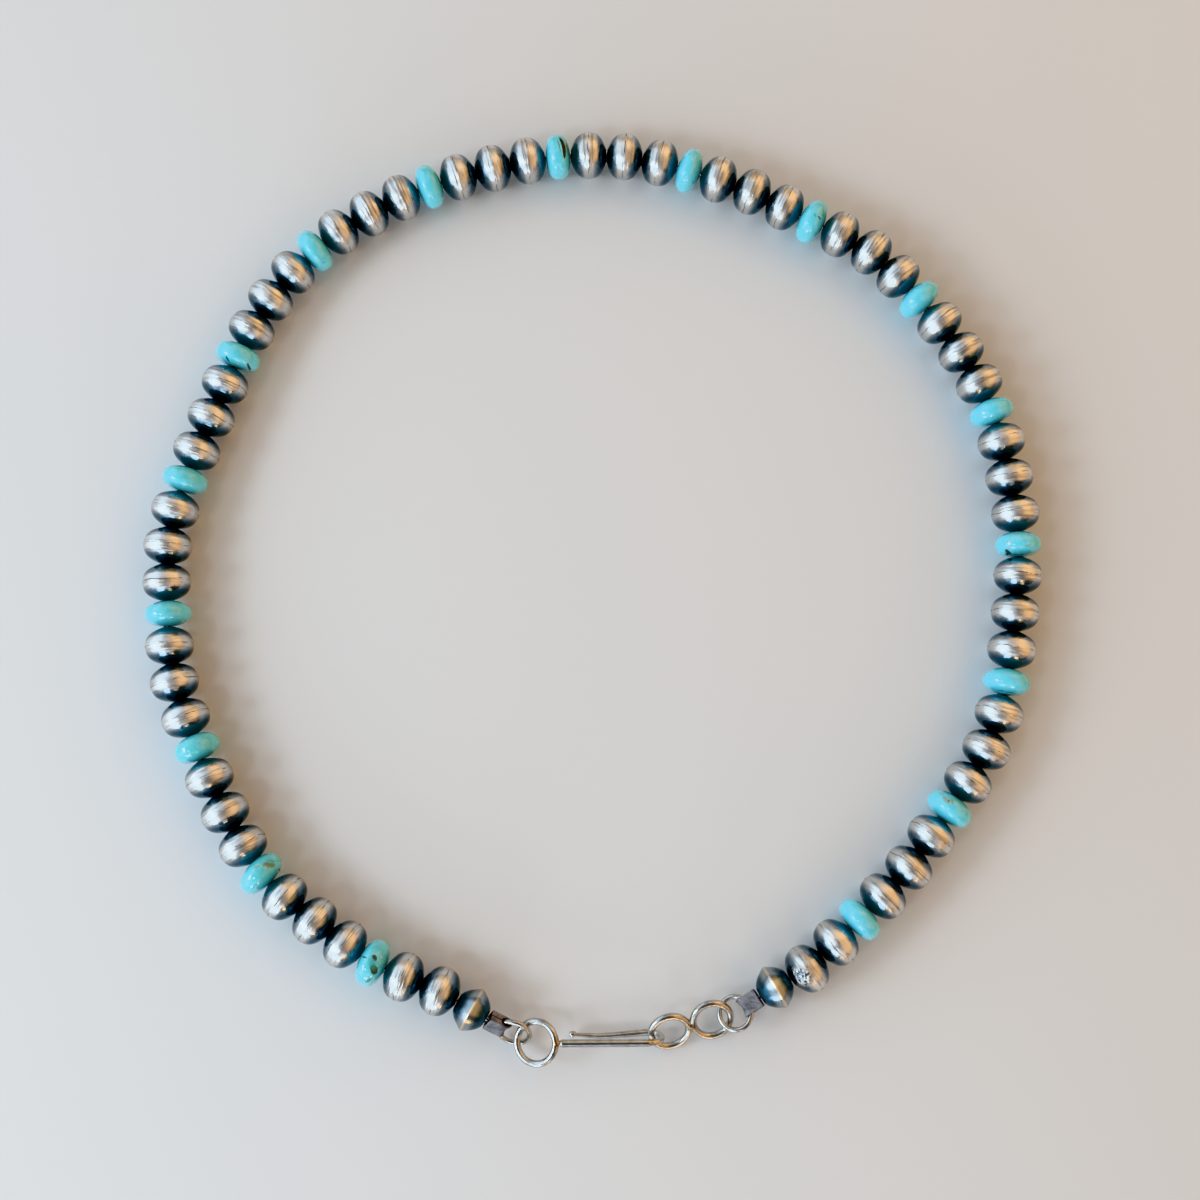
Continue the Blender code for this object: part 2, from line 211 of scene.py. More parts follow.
# Route of the cable over the table in mm, from the left end of the clasp clockwise round the loop
ROUTE = (
    (-14.4, -73.2), (-19.1, -70.8), (-24.0, -68.0), (-35.0, -63.5), (-44.5, -57.0), (-53.5, -49.5),
    (-60.0, -39.5), (-65.0, -29.0), (-69.5, -17.5), (-71.0, -6.0), (-71.5, 6.0), (-69.0, 17.0),
    (-65.0, 28.0), (-61.0, 38.5), (-55.5, 49.0), (-48.0, 58.0), (-39.0, 64.5), (-28.5, 69.5),
    (-17.0, 73.0), (-6.0, 75.0), (6.0, 75.0), (17.0, 72.5), (28.0, 68.5), (38.5, 63.0),
    (48.5, 57.5), (56.5, 49.0), (63.5, 39.5), (68.5, 28.5), (71.0, 17.0), (72.0, 5.5),
    (71.0, -6.0), (69.0, -18.0), (65.0, -29.5), (58.5, -39.0), (51.5, -48.5), (43.5, -56.5),
    (34.5, -64.5), (29.6, -67.2), (25.2, -70.4),
)
# The middle turquoise sits on this point of the route
MIDDLE_ROUTE_POINT = 19
STEPS_PER_SPAN = 24

# Jump rings and end tabs. AT and TO are distances from the last bead's hole toward the ring.
JUMP_RING_RADIUS = 2.6 * MM
JUMP_WIRE_RADIUS = 0.42 * MM
JUMP_RING_CENTRE = {
    "left": Vector((-12.5, -74.4, 2.57)) * MM,
    "right": Vector((23.2, -71.35, 3.1)) * MM,
}
JUMP_RING_ROLL = {"left": 45.0, "right": 16.0}
TAB_WIDTH = 3.0 * MM
TAB_HALF_THICKNESS = 1.0 * MM
TAB_FACE_AT = 0.30 * MM
TAB_CABLE_TO = 1.05 * MM
TAB_BORE_TO = 1.35 * MM
TAB_BORE_RADIUS = 0.75 * MM
TAB_HOLE_RADIUS = 0.72 * MM
TAB_EDGE_FROM_RING_CENTRE = 1.4 * MM
TAB_EDGE_HOLLOW = 0.38 * MM
TAB_STATIONS = 13
TAB_FOLD_SIDES = 16
TAB_SEAM = 0.16 * MM
TAB_SEAM_OVERRUN = 0.5 * MM
TAB_VOXEL = 0.06 * MM
TAB_SMOOTHING = 4

# Clasp hook
HOOK_RING_WIRE_RADIUS = 0.57 * MM
HOOK_RING_RADIUS = 3.3 * MM
HOOK_RING_CENTRE = Vector((-8.85, -75.9, 3.25)) * MM
HOOK_RING_TILT = 18.5
# x, y, z and wire radius in mm
HOOK_SHANK = (
    (-5.6, -75.9, 4.3, 0.45),
    (-4.9, -75.9, 4.3, 0.45),
    (-4.8, -75.9, 4.3, 0.64),
    (9.2, -75.8, 4.35, 0.62),
)
HOOK_BEND = 2.15 * MM
HOOK_BEND_WIRE_RADIUS = 0.53 * MM
HOOK_RETURN = (
    (9.2, -74.6, 0.75, 0.53),
    (5.3, -74.95, 0.7, 0.52),
    (1.4, -75.2, 0.7, 0.46),
    (-2.4, -74.95, 1.0, 0.33),
    (-2.75, -74.9, 1.05, 0.5),
    (-3.25, -74.85, 1.1, 0.5),
    (-3.6, -74.8, 1.15, 0.3),
)
BEND_STEPS = 20
RETURN_STEPS = 8
NECK_SOLDER_RADIUS = 0.62 * MM
WIRE_SIDES = 24
RING_SEGMENTS = 72
BALL_SUBDIVISIONS = 3

# Clasp eye
EYE_RING_RADIUS = 3.1 * MM
EYE_WIRE_RADIUS = 0.58 * MM
EYE_RING_SPACING = 7.03 * MM
EYE_CENTRE = Vector((12.65, -74.2, 2.75)) * MM
EYE_DIRECTION = 15.0
EYE_TILTS = (37.0, 30.0)
EYE_SOLDER_RADIUS = 0.72 * MM

CLASP_VOXEL = 0.09 * MM
CLASP_SMOOTHING = 6
SMOOTHING_FACTOR = 0.5


def add_object(name, data):
    made = bpy.data.objects.new(name, data)
    bpy.context.scene.collection.objects.link(made)
    return made


def add_piece(name, mesh, material, replaced, matrix=None):
    """A piece of the necklace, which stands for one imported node."""
    piece = add_object(name, mesh)
    mesh.materials.clear()
    mesh.materials.append(material)
    if matrix is not None:
        piece.matrix_world = matrix
    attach(piece, "root")
    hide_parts(replaced)


def loft(name, rings, closed=False):
    """A mesh through rings of equally many points. Open lofts get a face on each end."""
    shape = bmesh.new()
    loops = [[shape.verts.new(point) for point in points] for points in rings]
    pairs = list(zip(loops, loops[1:]))
    if closed:
        pairs.append((loops[-1], loops[0]))
    else:
        shape.faces.new(list(reversed(loops[0])))
        shape.faces.new(loops[-1])
    count = len(loops[0])
    for first, second in pairs:
        for k in range(count):
            after = (k + 1) % count
            shape.faces.new((first[k], first[after], second[after], second[k]))
    bmesh.ops.recalc_face_normals(shape, faces=shape.faces)
    mesh = bpy.data.meshes.new(name)
    shape.to_mesh(mesh)
    shape.free()
    mesh.shade_smooth()
    mesh.set_sharp_from_angle(angle=math.radians(SHARP_ANGLE))
    return mesh


def ring(centre, along, radius, sides, upward=UP):
    """Points of a circle across a direction."""
    side = along.cross(upward).normalized()
    top = side.cross(along).normalized()
    points = []
    for k in range(sides):
        angle = 2.0 * math.pi * (k + 0.5) / sides
        points.append(centre + radius * (math.sin(angle) * side - math.cos(angle) * top))
    return points


def spline(a, b, c, d, t):
    """Where a smooth curve through four numbers or vectors is, from b at t = 0 to c at t = 1."""
    value = 2.0 * b + (c - a) * t
    value += (2.0 * a - 5.0 * b + 4.0 * c - d) * t**2
    value += (3.0 * b - a - 3.0 * c + d) * t**3
    return value * 0.5


class Route:
    """A smooth curve through the route's points, measured by its length."""

    def __init__(self, points, height):
        corners = [Vector((x * MM, y * MM, height)) for x, y in points]
        corners.insert(0, 2.0 * corners[0] - corners[1])
        corners.append(2.0 * corners[-1] - corners[-2])
        self.points = []
        self.lengths = [0.0]
        for span in zip(corners, corners[1:], corners[2:], corners[3:]):
            for step in range(STEPS_PER_SPAN):
                self.points.append(spline(*span, step / STEPS_PER_SPAN))
        self.points.append(corners[-2])
        for first, second in zip(self.points, self.points[1:]):
            self.lengths.append(self.lengths[-1] + (second - first).length)

    def length_at(self, route_point):
        return self.lengths[route_point * STEPS_PER_SPAN]

    def point(self, length):
        index = 0
        while index < len(self.lengths) - 2 and self.lengths[index + 1] < length:
            index += 1
        span = self.lengths[index + 1] - self.lengths[index]
        part = (length - self.lengths[index]) / span
        return self.points[index].lerp(self.points[index + 1], part)

    def direction(self, length, half_chord):
        return (self.point(length + half_chord) - self.point(length - half_chord)).normalized()


class Bead:
    """A bead's place: its axis is local Z, and local X points upwards."""

    def __init__(self, kind, number, centre, axis, at):
        self.kind = kind
        self.number = number
        self.centre = centre
        self.axis = axis
        self.at = at

    def matrix(self, turn=0.0):
        axis = Matrix.Rotation(math.radians(turn), 3, "Z") @ self.axis
        side = axis.cross(UP).normalized()
        upward = side.cross(axis).normalized()
        placed = Matrix((upward, axis.cross(upward), axis)).transposed().to_4x4()
        placed.translation = self.centre
        return placed


def bead_lengths():
    """Kind, number and length of each bead from the left end of the string to the right."""
    beads = []
    silver = 0
    for triplet in range(TRIPLETS):
        for _ in range(3):
            silver += 1
            if silver in (1, 3 * TRIPLETS):
                beads.append(("end", silver, END_BEAD_LENGTH))
            else:
                beads.append(("silver", silver, SILVER_LENGTH))
        if triplet < len(TURQUOISE):
            beads.append(("turquoise", triplet + 1, TURQUOISE[triplet][1] * MM))
    return beads


def place_beads(route):
    """Every bead, threaded outwards from the middle turquoise."""
    beads = bead_lengths()
    middle = len(beads) // 2
    places = {middle: route.length_at(MIDDLE_ROUTE_POINT)}
    for side, step, order in (
        ("left", -1, range(middle - 1, -1, -1)),
        ("right", 1, range(middle + 1, len(beads))),
    ):
        for index in order:
            before = beads[index - step]
            here = beads[index]
            stone = "turquoise" in (before[0], here[0])
            gap = (TURQUOISE_GAP if stone else SILVER_GAP)[side]
            places[index] = places[index - step] + step * (before[2] / 2 + gap + here[2] / 2)
    placed = []
    for index, (kind, number, length) in enumerate(beads):
        at = places[index]
        placed.append(Bead(kind, number, route.point(at), route.direction(at, length / 2), at))
    return placed


class Shader:
    """A material's nodes, from calls that take numbers or other nodes' outputs."""

    def __init__(self, name, metallic):
        self.material = bpy.data.materials.new(name)
        self.material.use_nodes = True
        self.tree = self.material.node_tree
        self.surface = self.tree.nodes["Principled BSDF"]
        self.surface.inputs["Metallic"].default_value = metallic

    def node(self, kind, inputs, **settings):
        made = self.tree.nodes.new("ShaderNode" + kind)
        for key, value in settings.items():
            setattr(made, key, value)
        for key, value in inputs.items():
            if isinstance(value, bpy.types.NodeSocket):
                self.tree.links.new(value, made.inputs[key])
            else:
                made.inputs[key].default_value = value
        return made

    def finish(self, **inputs):
        """Links outputs to the surface, each to the input that its key names."""
        for key, value in inputs.items():
            self.tree.links.new(value, self.surface.inputs[key.replace("_", " ")])
        return self.material

    def place(self):
        """Place on the piece in millimetres, in the piece's own axes."""
        coordinates = self.node("TexCoord", {}).outputs["Object"]
        return self.vector("SCALE", coordinates, scale=1.0 / MM)

    def vector(self, operation, first, second=(0.0, 0.0, 0.0), scale=1.0, output="Vector"):
        inputs = {0: first, 1: second, 3: scale}
        return self.node("VectorMath", inputs, operation=operation).outputs[output]

    def math(self, operation, first, second=0.0, third=0.0):
        return self.node("Math", {0: first, 1: second, 2: third}, operation=operation).outputs[0]

    def attribute(self, name):
        return self.node("Attribute", {}, attribute_name=name).outputs["Fac"]

    def noise(self, place, scale, detail=2.0, roughness=0.5):
        inputs = {"Vector": place, "Scale": scale, "Detail": detail, "Roughness": roughness}
        return self.node("TexNoise", inputs).outputs["Fac"]

    def moved(self, edge, pattern, amount):
        """An edge, moved by a pattern of noise to either side."""
        return self.math("MULTIPLY_ADD", self.math("SUBTRACT", pattern, 0.5), amount, edge)

    def fade(self, value, low, high):
        """0 at low and 1 at high, with a smooth passage between."""
        inputs = {"Value": value, "From Min": low, "From Max": high}
        return self.node("MapRange", inputs, interpolation_type="SMOOTHSTEP").outputs[0]

    def between(self, factor, low, high):
        inputs = {"Value": factor, "To Min": low, "To Max": high}
        return self.node("MapRange", inputs).outputs[0]

    def mix(self, factor, first, second):
        return self.node("Mix", {0: factor, 6: first, 7: second}, data_type="RGBA").outputs[2]

    def bump(self, height, distance, normal=None):
        inputs = {"Height": height, "Distance": distance}
        if normal is not None:
            inputs["Normal"] = normal
        return self.node("Bump", inputs).outputs["Normal"]


SILVER = (0.84, 0.825, 0.80, 1.0)
SILVER_SHADE = (0.48, 0.45, 0.41, 1.0)
# painted shade: the band's sides darker, where they would reflect the dark table
SILVER_PAINTED_FLANK_SHADE = (0.62, 0.61, 0.59, 1.0)
THIN_OXIDE = (0.17, 0.22, 0.26, 1.0)
OXIDE = (0.040, 0.088, 0.125, 1.0)
# worn rim of the end beads, tinted tan as a painted warm reflection
WORN_RIM_PAINTED_WARM_REFLECTION = (0.68, 0.57, 0.44, 1.0)
RUBBED_PATINA = (0.35, 0.385, 0.40, 1.0)
SEAM_SHADE = (0.11, 0.105, 0.10, 1.0)

# Noise patterns: scale per mm, detail and roughness
BRUSHED_LINES = (1.0, 4.0, 0.58)
BLOTCHES = (0.7, 3.0, 0.6)
SEAM_WAVES = (0.35, 1.0)
PATINA_GRAIN = (3.0, 3.0)
SCUFF_PITS = (1.7, 3.0, 0.6)
END_CLOUDS = (0.8, 3.0)
# Brushed lines run round the bead: stretched across its axis, fine along it
LINE_STRETCH = (0.13, 0.13, 2.3)

# Where a fade starts and ends: mm for distances, or values of a pattern
OXIDE_FADE = (-0.55, 0.40)
THICK_OXIDE_FADE = (0.15, 0.95)
SHADED_LINES = (0.46, 0.66)
# painted flank shade: where it starts and ends, by how much a point faces up
PAINTED_FLANK_SHADE_FADE = (0.70, 0.0)
SEAM_FADE = (0.10, 0.02)
SEAM_PATCHES = (0.44, 0.56)
SCUFF_FADE = (2.1, 1.3)
PIT_FADE = (0.50, 0.42)
END_OXIDE_FADE = (0.6, 1.7)
END_RIM_FADE = (0.24, 0.45)

# How far a pattern moves an edge, in mm
BLOTCHES_MOVE_BAND = -0.7
LINES_MOVE_BAND = -0.3
WAVES_MOVE_SEAM = 1.0
CLOUDS_MOVE_END_OXIDE = 0.8
CLOUDS_MOVE_END_RIM = 0.25

BRUSHED_ROUGHNESS = (0.26, 0.40)
PATINA_ROUGHNESS = (0.15, 0.24)
END_ROUGHNESS = (0.20, 0.32)
SCUFF_MIDDLE = Vector((3.0, 0.0, 1.7))
SCUFF_SHINE = 0.75
LINE_RELIEF = 0.2 * MM
SCUFF_RELIEF = 0.4 * MM


def bead_silver_material():
    """Dark glossy patina on the domes, rubbed to brushed silver in a band round the crest. Towards
    the bead's sides the band is painted narrower and darker, as shade.
    """
    s = Shader("bead_silver", 1.0)
    place = s.place()
    seed = s.attribute("seed")
    shifted = s.vector("ADD", place, s.node("CombineXYZ", {0: seed, 1: seed, 2: seed}).outputs[0])
    upward, sideways, axial = s.node("SeparateXYZ", {0: place}).outputs
    along = s.math("ABSOLUTE", axial)
    upward_part = s.math("MULTIPLY", upward, upward)
    sideways_part = s.math("MULTIPLY", sideways, sideways)
    facing_up = s.math("DIVIDE", upward_part, s.math("ADD", upward_part, sideways_part))
    lines = s.noise(s.vector("MULTIPLY", shifted, LINE_STRETCH), *BRUSHED_LINES)
    blotches = s.noise(shifted, *BLOTCHES)
    # Painted shade: the worn band is narrower at the bead's sides than on top.
    edge = s.math("MULTIPLY_ADD", facing_up, BAND_FULLER_ON_TOP, s.attribute("band"))
    edge = s.moved(edge, blotches, BLOTCHES_MOVE_BAND)
    edge = s.moved(edge, lines, LINES_MOVE_BAND)
    beyond = s.math("SUBTRACT", along, edge)
    oxide = s.fade(beyond, *OXIDE_FADE)
    worn = s.mix(s.fade(lines, *SHADED_LINES), SILVER, SILVER_SHADE)
    # Painted shade: the band darkens towards the bead's sides.
    worn = s.mix(s.fade(facing_up, *PAINTED_FLANK_SHADE_FADE), worn, SILVER_PAINTED_FLANK_SHADE)
    from_seam = s.math("ABSOLUTE", s.moved(axial, s.noise(shifted, *SEAM_WAVES), WAVES_MOVE_SEAM))
    seam = s.math("MULTIPLY", s.fade(from_seam, *SEAM_FADE), s.fade(blotches, *SEAM_PATCHES))
    worn = s.mix(seam, worn, SEAM_SHADE)
    colour = s.mix(oxide, worn, s.mix(s.fade(beyond, *THICK_OXIDE_FADE), THIN_OXIDE, OXIDE))
    grain = s.noise(shifted, *PATINA_GRAIN)
    brushed = s.between(lines, *BRUSHED_ROUGHNESS)
    roughness = s.between(oxide, brushed, s.between(grain, *PATINA_ROUGHNESS))
    from_scuff = s.vector("DISTANCE", place, SCUFF_MIDDLE, output="Value")
    scuffed = s.math("MULTIPLY", s.fade(from_scuff, *SCUFF_FADE), s.attribute("scuff"))
    pits = s.noise(shifted, *SCUFF_PITS)
    colour = s.mix(s.math("MULTIPLY", scuffed, SCUFF_SHINE), colour, SILVER)
    colour = s.mix(s.math("MULTIPLY", scuffed, s.fade(pits, *PIT_FADE)), colour, OXIDE)
    normal = s.bump(s.math("MULTIPLY", lines, s.math("SUBTRACT", 1.0, oxide)), LINE_RELIEF)
    normal = s.bump(s.math("MULTIPLY", pits, scuffed), SCUFF_RELIEF, normal)
    return s.finish(Base_Color=colour, Roughness=roughness, Normal=normal)


def end_bead_material():
    """Patina all over, apart from the rubbed rim, which is tinted tan as a painted warm reflection.
    """
    s = Shader("end_bead_silver", 1.0)
    place = s.place()
    along = s.math("ABSOLUTE", s.node("SeparateXYZ", {0: place}).outputs[2])
    cloud = s.noise(place, *END_CLOUDS)
    from_rim = s.moved(along, cloud, CLOUDS_MOVE_END_OXIDE)
    rim = s.fade(s.math("MULTIPLY_ADD", cloud, CLOUDS_MOVE_END_RIM, along), *END_RIM_FADE)
    colour = s.mix(s.fade(from_rim, *END_OXIDE_FADE), RUBBED_PATINA, OXIDE)
    # The worn rim, tinted tan: painted warm reflection.
    colour = s.mix(rim, WORN_RIM_PAINTED_WARM_REFLECTION, colour)
    return s.finish(Base_Color=colour, Roughness=s.between(cloud, *END_ROUGHNESS))


# Clean silver, its tarnish, relief of the scratches and roughness
CLASP_METAL = ((0.57, 0.555, 0.53, 1.0), (0.42, 0.375, 0.32, 1.0), 0.012 * MM, 0.15)
TAB_METAL = ((0.34, 0.325, 0.34, 1.0), (0.12, 0.11, 0.12, 1.0), 0.2 * MM, 0.34)
SOLDER_STAIN = (0.34, 0.26, 0.17, 1.0)
SCRATCHES = (1.0, 4.0, 0.7)
SCRATCH_STRETCH = (0.8, 7.0, 2.0)
TARNISH_CLOUDS = (0.7, 3.0)
# How much scratches and clouds count where the silver turns to tarnish
TARNISH_BY_SCRATCH = 0.6
TARNISH_BY_CLOUD = 0.7
TARNISH_FADE = (0.52, 0.86)
STAIN_FADE = (1.9, 0.6)
CLOUDS_MOVE_STAIN = 0.8
ROUGHNESS_SPREAD = 0.08


def clasp_material(name, clean, tarnish, relief, roughness, joints=()):
    """Finely scratched silver with some tarnish, stained by the flame round its soldered joints."""
    s = Shader(name, 1.0)
    place = s.place()
    scratch = s.noise(s.vector("MULTIPLY", place, SCRATCH_STRETCH), *SCRATCHES)
    cloud = s.noise(place, *TARNISH_CLOUDS)
    clouded = s.math("MULTIPLY", cloud, TARNISH_BY_CLOUD)
    tarnished = s.math("MULTIPLY_ADD", scratch, TARNISH_BY_SCRATCH, clouded)
    colour = s.mix(s.fade(tarnished, *TARNISH_FADE), clean, tarnish)
    for joint in joints:
        distance = s.vector("DISTANCE", place, joint / MM, output="Value")
        stained = s.fade(s.math("MULTIPLY_ADD", cloud, CLOUDS_MOVE_STAIN, distance), *STAIN_FADE)
        colour = s.mix(stained, colour, SOLDER_STAIN)
    low = roughness - ROUGHNESS_SPREAD
    high = roughness + ROUGHNESS_SPREAD
    rough = s.between(s.math("ADD", cloud, scratch), low, high)
    return s.finish(Base_Color=colour, Roughness=rough, Normal=s.bump(scratch, relief))


CABLE_DARK = (0.14, 0.14, 0.14, 1.0)
CABLE_BRIGHT = (0.30, 0.29, 0.28, 1.0)
CABLE_STRANDS = (3.0, 2.0)
CABLE_ROUGHNESS = (0.18, 0.35)
STRAND_RELIEF = 0.05 * MM


def cable_material():
    s = Shader("cable_steel", 1.0)
    strands = s.noise(s.place(), *CABLE_STRANDS)
    colour = s.mix(strands, CABLE_DARK, CABLE_BRIGHT)
    roughness = s.between(strands, *CABLE_ROUGHNESS)
    return s.finish(Base_Color=colour, Roughness=roughness, Normal=s.bump(strands, STRAND_RELIEF))


STONE_BLUE = (0.18, 0.77, 0.95, 1.0)
STONE_GREEN = (0.13, 0.61, 0.64, 1.0)
STONE_PALE = (0.34, 0.84, 0.95, 1.0)
STONE_SPECULAR = 0.45
STONE_POLISH = 1.0
STONE_CLOUDS = (0.35, 3.0, 0.55)
PALE_CLOUDS = (0.9, 4.0)
STONE_PITS = (2.4, 3.0)
RAGGED_EDGES = (1.9, 4.0, 0.6)
# How far the clouds lower and raise a stone's greenness
GREEN_BELOW = 0.2
GREEN_ABOVE = 0.3
PALE_FADE = (0.5, 0.75)
PALE_STRENGTH = 0.5
STONE_ROUGHNESS = (0.04, 0.09)
MARK_ROUGHNESS = 0.30
STONE_RELIEF = 0.03 * MM


def turquoise_material(name, green, marks):
    """Polished stone with pale clouds and the marks of its mother rock."""
    s = Shader(name, 0.0)
    place = s.place()
    shifted = s.vector("ADD", place, s.node("CombineXYZ", {0: s.attribute("seed")}).outputs[0])
    cloud = s.noise(shifted, *STONE_CLOUDS)
    greener = s.between(cloud, green - GREEN_BELOW, green + GREEN_ABOVE)
    colour = s.mix(greener, STONE_BLUE, STONE_GREEN)
    pale = s.fade(s.noise(shifted, *PALE_CLOUDS), *PALE_FADE)
    colour = s.mix(s.math("MULTIPLY", pale, PALE_STRENGTH), colour, STONE_PALE)
    pits = s.noise(shifted, *STONE_PITS)
    roughness = s.between(pits, *STONE_ROUGHNESS)
    ragged = s.noise(shifted, *RAGGED_EDGES)
    polish = STONE_POLISH
    for mark in marks:
        shade, strength, softness, raggedness, _ = MARK_KINDS[mark.kind]
        inputs = {
            "Vector": place,
            "Location": mark.centre / MM,
            "Rotation": mark.turn.to_euler(),
            "Scale": mark.half / MM,
        }
        inside = s.node("Mapping", inputs, vector_type="TEXTURE").outputs[0]
        distance = s.vector("LENGTH", inside, output="Value")
        cover = s.fade(s.moved(distance, ragged, raggedness), 1.0, 1.0 - softness)
        cover = s.math("MULTIPLY", cover, strength)
        colour = s.mix(cover, colour, shade)
        roughness = s.math("MULTIPLY_ADD", cover, MARK_ROUGHNESS, roughness)
        polish = s.math("MULTIPLY", polish, s.math("SUBTRACT", 1.0, cover))
    s.surface.inputs["Specular IOR Level"].default_value = STONE_SPECULAR
    if marks:
        s.finish(Coat_Weight=polish)
    else:
        s.surface.inputs["Coat Weight"].default_value = STONE_POLISH
    normal = s.bump(pits, STONE_RELIEF)
    return s.finish(Base_Color=colour, Roughness=roughness, Normal=normal)


class Mark:
    """An ellipsoid across a stone's surface, which colours and dents what lies inside it."""

    def __init__(self, row, radius, half, squareness):
        _, self.kind, along_1, around_1, along_2, around_2, width = row
        along = (along_1 + along_2) / 2
        around = (around_1 + around_2) / 2
        first = surface_point(along_1 * MM, around_1, radius, half, squareness)
        second = surface_point(along_2 * MM, around_2, radius, half, squareness)
        top = surface_point(along * MM, around, radius, half, squareness)
        chord = (first + second) / 2
        rise = (top - chord).length
        self.centre = (chord + top) / 2
        run = (second - first).normalized()
        outward = Vector((top.x, top.y, top.z * (radius / half) ** 2)).normalized()
        across = outward.cross(run).normalized()
        self.turn = Matrix((run, across, run.cross(across))).transposed()
        half_run = (second - first).length / 2 + width * MM * MARK_END_REACH
        self.half = Vector((half_run, width * MM * MARK_SIDE_REACH, MARK_DEPTH + rise))
        self.inward = -outward
        self.depth = MARK_KINDS[self.kind][4] * MM

    def dent(self, point):
        """How the mark moves a point of the stone's surface."""
        local = self.turn.transposed() @ (point - self.centre)
        local = Vector((local.x / self.half.x, local.y / self.half.y, local.z / self.half.z))
        if local.length >= 1.0:
            return Vector()
        return self.inward * (self.depth * (1.0 - local.length**2) ** DENT_POWER)


def surface_point(along, around, radius, half, squareness):
    """A point of a stone's surface, from its place along the axis and degrees round it."""
    left_over = max(0.0, 1.0 - (abs(along) / half) ** squareness)
    size = radius * left_over ** (1.0 / squareness)
    angle = math.radians(around)
    return Vector((size * math.cos(angle), size * math.sin(angle), along))


def drilled(outside):
    """Closed profile of a bead with a rounded hole, from its outside on one side of the equator."""
    end, rim = outside[-1]
    inner = HOLE_RADIUS + HOLE_ROUNDING
    half = list(outside)
    half.append((end, (rim + inner) / 2))
    for k in range(LIP_STEPS + 1):
        angle = math.pi / 2 * k / LIP_STEPS
        along = end - HOLE_ROUNDING * (1 - math.cos(angle))
        half.append((along, inner - HOLE_ROUNDING * math.sin(angle)))
    mirrored = [(-along, radius) for along, radius in reversed(half)]
    return mirrored + half[1:]


def silver_profile():
    """A dome from the crest to the lip at the hole."""
    end = (SILVER_LENGTH + SILVER_REACH) / 2 - LIP_HEIGHT
    fall = SILVER_RADIUS - CREST_SLOPE * end - SILVER_RIM_RADIUS
    outside = []
    for k in range(DOME_STEPS + 1):
        along = end * (1.0 - math.cos(math.pi * k / DOME_STEPS)) / 2
        crest = math.hypot(along, CREST_ROUNDING) - CREST_ROUNDING
        radius = SILVER_RADIUS - CREST_SLOPE * crest - fall * (along / end) ** DOME_POWER
        outside.append((along, radius))
    for k in range(1, LIP_STEPS + 1):
        angle = math.pi / 2 * k / LIP_STEPS
        radius = SILVER_RIM_RADIUS - LIP_WIDTH * (1 - math.cos(angle))
        outside.append((end + LIP_HEIGHT * math.sin(angle), radius))
    return drilled(outside)


def end_bead_profile():
    """Slightly rounded cones, through the shoulder."""
    half = END_BEAD_LENGTH / 2
    shoulder, shoulder_radius = END_BEAD_SHOULDER
    middle = 2.0 * shoulder - half / 2
    middle_radius = 2.0 * shoulder_radius - (END_BEAD_RADIUS + SILVER_RIM_RADIUS) / 2
    outside = []
    for k in range(DOME_STEPS + 1):
        t = k / DOME_STEPS
        along = 2.0 * t * (1.0 - t) * middle + t * t * half
        radius = (1.0 - t) ** 2 * END_BEAD_RADIUS + 2.0 * t * (1.0 - t) * middle_radius
        outside.append((along, radius + t * t * SILVER_RIM_RADIUS))
    return drilled(outside)


def rondelle_profile(radius, half, squareness, steps):
    """A superellipse, from its rim to the hole."""
    power = 2.0 / squareness
    outside = []
    for k in range(steps // 2 + 1):
        angle = math.pi / 2 * k / (steps // 2)
        along = half * math.sin(angle) ** power
        size = radius * math.cos(angle) ** power
        if size < HOLE_RADIUS + 2.0 * HOLE_ROUNDING:
            break
        outside.append((along, size))
    return drilled(outside)


def turned(name, profile, sides, shape):
    """A closed body turned about Z. shape moves each of its points."""
    rings = []
    for k in range(sides):
        angle = 2.0 * math.pi * k / sides
        points = []
        for along, radius in profile:
            point = Vector((radius * math.cos(angle), radius * math.sin(angle), along))
            points.append(shape(point))
        rings.append(points)
    return loft(name, rings, closed=True)


def note(mesh, name, value):
    """The same number on every point of a mesh, for its material to read."""
    made = mesh.attributes.new(name, "FLOAT", "POINT")
    made.data.foreach_set("value", [value] * len(mesh.vertices))


def uneven(seed, amount, size):
    """Slight waves that handwork leaves in a bead's outline."""
    offset = Vector((seed, -seed, 0.5 * seed))

    def shape(point):
        outward = Vector((point.x, point.y, 0.0))
        return point + outward.normalized() * (amount * noise.noise(point / size + offset))

    return shape


def make_silver_beads(beads, chance):
    kinds = {
        "silver": (silver_profile(), bead_silver_material()),
        "end": (end_bead_profile(), end_bead_material()),
    }
    middle = len(beads) // 2
    for index, bead in enumerate(beads):
        if bead.kind == "turquoise":
            continue
        profile, material = kinds[bead.kind]
        name = f"silver_bead_{bead.number:02d}"
        seed = chance.uniform(0.0, HIGHEST_SEED)
        mesh = turned(name, profile, BEAD_SIDES, uneven(seed, *SILVER_WAVES))
        note(mesh, "seed", seed)
        note(mesh, "band", BAND_HALF_WIDTH + chance.uniform(-BAND_VARIATION, BAND_VARIATION))
        note(mesh, "scuff", 1.0 if bead.number == SCUFFED_BEAD else 0.0)
        node = "silver_bead_string_left" if index < middle else "silver_bead_string_right"
        add_piece(name, mesh, material, node, bead.matrix())


